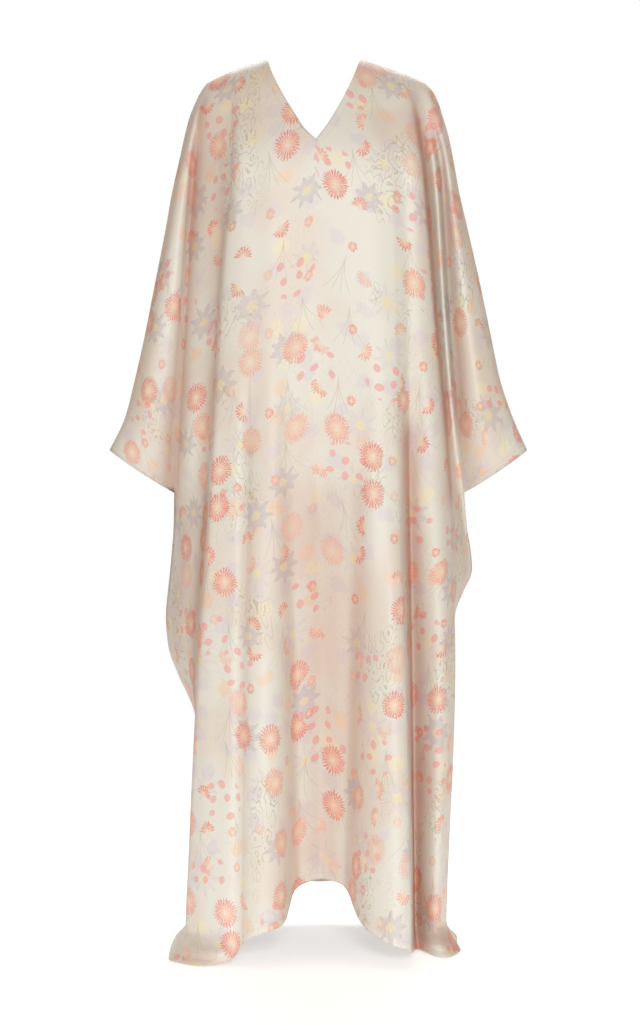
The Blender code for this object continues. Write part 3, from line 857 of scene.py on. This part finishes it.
def satin_jacquard(name, reverse=False):
    """Soft satin woven with a scattered floral pattern on ivory: coral daisies on pale discs,
    rose buds, lilac leaf stars with lemon eyes, and line-drawn sage stems and grass."""
    material = bpy.data.materials.new(name)
    tree = Tree(material)
    shader = tree.nodes["Principled BSDF"]
    flat = tree.node("ShaderNodeUVMap", {"uv_map": "flat_cloth"})
    u, v, _ = flat.parts()
    disc, stroke, tip, tone = flowers(tree, flat)
    bud = buds(tree, flat)
    star, star_eye, vein, strong = stars(tree, flat)
    line = vines(tree, flat).most(sprigs(tree, flat) * 0.7)
    patch, hue = patches(tree, flat)
    cloud = tree.step(tree.noise(flat, 6.0, 2.0), 0.40, 0.62)
    ground = tree.mix(cloud, IVORY, IVORY_WARM)
    pale = tree.mix(hue > 0.42, tree.mix(hue > 0.20, PEACH_PALE, LEMON_PALE), LILAC_PALE)
    ground = tree.mix(patch * 0.5, ground, pale)
    lilac = tree.mix(strong, LILAC_PALE, LILAC)
    colour = tree.mix(star * (0.26 + strong * 0.20), ground, lilac)
    colour = tree.mix(star * vein * 0.35, colour, SAGE)
    colour = tree.mix(star_eye * 0.6, colour, LEMON)
    colour = tree.mix(line * 0.62, colour, SAGE)
    colour = tree.mix(bud * 0.62, colour, ROSE)
    faint = tree.step(tone, 0.66, 0.92)
    coral = tree.mix(tree.step(tone, 0.25, 0.6), CORAL, PEACH)
    colour = tree.mix(disc * (0.64 - faint * 0.26), colour, PETAL_PALE)
    coral = tree.mix(strand(tree, flat) * 0.4, coral, RUSSET)
    coral = tree.mix(tip, PEACH_PALE, coral)
    colour = tree.mix(stroke * (0.86 - faint * 0.4), colour, coral)
    edge = tree.node("ShaderNodeAttribute", {"attribute_name": "edge_distance"}, [], 2)
    turned = tree.step((edge - HEM_WIDTH).size(), STITCH_HALF_WIDTH, 0.0005)
    stitch = turned * tree.step(((u + v) * STITCH_TURNS).sine(), 0.0, 0.5)
    colour = tree.mix(stitch * 0.2, colour, THREAD)
    # Painted shade: the colour is multiplied towards a warm brown inside the deep folds, standing
    # in for their shade.
    painted_shade = tree.node("ShaderNodeAttribute", {"attribute_name": "painted_shade"}, [], 2)
    colour = tree.mix(painted_shade, colour, PAINTED_SHADE_COLOUR, "MULTIPLY")
    if reverse:
        colour = tree.mix(0.5, colour, REVERSE)
    slub = tree.noise(tree.vector("MULTIPLY", flat, (40.0, 1100.0, 1.0)), 1.0, 2.0)
    motif = disc.most(bud).most(star * 0.5)
    tree.put(shader.inputs["Base Color"], colour)
    tree.put(shader.inputs["Roughness"], SHEEN_ROUGHNESS + motif * 0.08 + slub * 0.08)
    height = slub * 0.35 + motif * 0.35 + stroke * 0.3 + line * 0.3 - turned * 0.8
    inputs = {"Strength": 0.45, "Distance": 0.0005, "Height": height}
    tree.put(shader.inputs["Normal"], tree.node("ShaderNodeBump", {}, inputs))
    shader.inputs["Specular IOR Level"].default_value = 0.55
    return material


def place_light(name, place, aim, size, power, colour):
    """A soft rectangular light that faces a point."""
    data = bpy.data.lights.new(name, "AREA")
    data.shape = "RECTANGLE"
    data.size, data.size_y = size
    data.energy = power
    data.color = colour
    light = bpy.data.objects.new(name, data)
    light.location = place
    light.rotation_mode = "QUATERNION"
    light.rotation_quaternion = (Vector(aim) - Vector(place)).to_track_quat("-Z", "Y")
    bpy.context.scene.collection.objects.link(light)


LIGHTS = (
    # name, place, aim, size, power, colour
    ("front_light", (0.3, -4.9, 0.3), (0, 0, -0.8), (1.0, 1.0), 126, (0.945, 1.0, 1.0)),
    ("floor_light", (0.0, 2.2, 1.6), (0, 1.4, -1.5), (2.4, 1.2), 56, (0.96, 1.0, 1.0)),
)
FLOOR_PAINT = (0.88, 0.92, 0.95)
WHITE = (1.0, 1.0, 1.0)
DIM_ROOM = (0.42, 0.31, 0.245)
CAMERA_AWAY = 5.0
CAMERA_HEIGHT = -0.503
CAMERA_X = 0.0068
CAMERA_TILT = -3.03
LENS = 103.3


def make_studio():
    """Camera at the photo's angle, a pale floor, soft lights, and a room that is white behind
    the kaftan and dimmer overhead and in front of it."""
    data = bpy.data.cameras.new("camera")
    data.sensor_fit = "AUTO"
    data.sensor_width = 36.0
    data.lens = LENS
    camera = bpy.data.objects.new("camera", data)
    camera.location = (CAMERA_X, -CAMERA_AWAY, CAMERA_HEIGHT)
    camera.rotation_euler = (np.radians(90 + CAMERA_TILT), 0, 0)
    bpy.context.scene.collection.objects.link(camera)
    bpy.context.scene.camera = camera

    floor_mesh = bpy.data.meshes.new("studio_floor")
    corners = [(-3, -3), (3, -3), (3, 3), (-3, 3)]
    floor_mesh.from_pydata([(x, y, FLOOR * MM) for x, y in corners], [], [(0, 1, 2, 3)])
    paint = bpy.data.materials.new("pale_studio_floor")
    tree = Tree(paint)
    shader = tree.nodes["Principled BSDF"]
    tree.put(shader.inputs["Base Color"], FLOOR_PAINT)
    tree.put(shader.inputs["Roughness"], 0.95)
    tree.put(shader.inputs["Emission Color"], WHITE)
    shader.inputs["Emission Strength"].default_value = 0.5
    x, y, _ = tree.node("ShaderNodeTexCoord", {}, [], 3).parts()
    tree.put(shader.inputs["Alpha"], tree.step((x * x + y * y) ** 0.5, 2.6, 0.7))
    floor_mesh.materials.append(paint)
    floor = bpy.data.objects.new("studio_floor", floor_mesh)
    bpy.context.scene.collection.objects.link(floor)

    world = bpy.data.worlds.new("studio_room")
    bpy.context.scene.world = world
    room = Tree(world)
    _, y, z = room.node("ShaderNodeTexCoord", {}, [], 0).parts()
    behind = room.step(y, 0.78, 0.93) * room.step(z, 0.75, 0.25)
    colour = room.mix(behind, DIM_ROOM, WHITE)
    room.put(room.nodes["Background"].inputs[0], colour)
    for light in LIGHTS:
        place_light(*light)
    bpy.context.scene.view_settings.view_transform = "Standard"


def main():
    face = satin_jacquard("satin_jacquard_face")
    reverse = satin_jacquard("satin_jacquard_reverse", True)
    panels = (
        ("front_cloth", "front_panel", (1.17, 1.55), 1.19,
         (FRONT_LINES, FRONT_LEANS, FRONT_HEM, FRONT_SPREAD, FRONT_CREASES, 1)),
        ("back_cloth", "back_panel", (0.89, 1.54), 0.91,
         (BACK_LINES, BACK_LEANS, BACK_HEM, BACK_SPREAD, BACK_CREASES, -1)),
    )
    for name, node, flat, area, shape in panels:
        cloth = make_cloth(name, *shape, (face, reverse))
        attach(cloth, "root")
        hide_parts(node)
    make_studio()


main()
